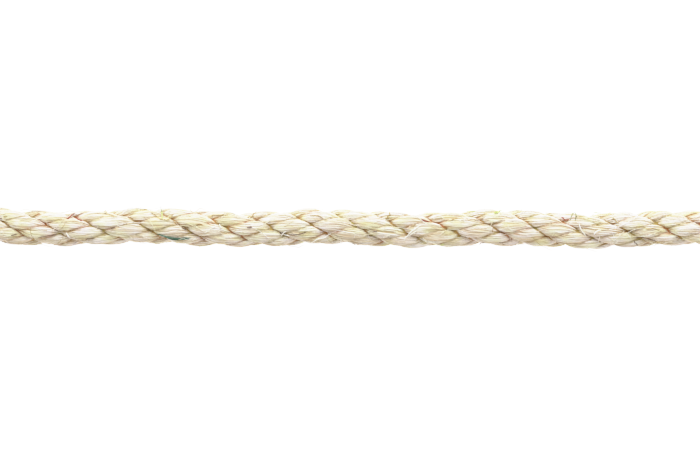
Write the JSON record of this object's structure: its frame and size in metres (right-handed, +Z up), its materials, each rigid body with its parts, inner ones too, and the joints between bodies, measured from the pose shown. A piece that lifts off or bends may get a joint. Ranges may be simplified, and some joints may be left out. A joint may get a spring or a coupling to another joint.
{
  "type": "length of sisal rope",
  "caption": "Straight cut length of 8 mm right-hand-laid sisal rope, three strands of four yarns, with a hairy natural fibre surface.",
  "frame": {"origin": "on the resting surface, under the middle of the rope", "axes": "+X along the rope, +Z up from the surface"},
  "size_m": [0.168, 0.0088, 0.0078],
  "materials": {
    "sisal": "dry, matt natural fibre, pale cream with ochre in the grooves"
  },
  "bodies": {
    "root": {"rope": "sisal"}
  },
  "joints": []
}
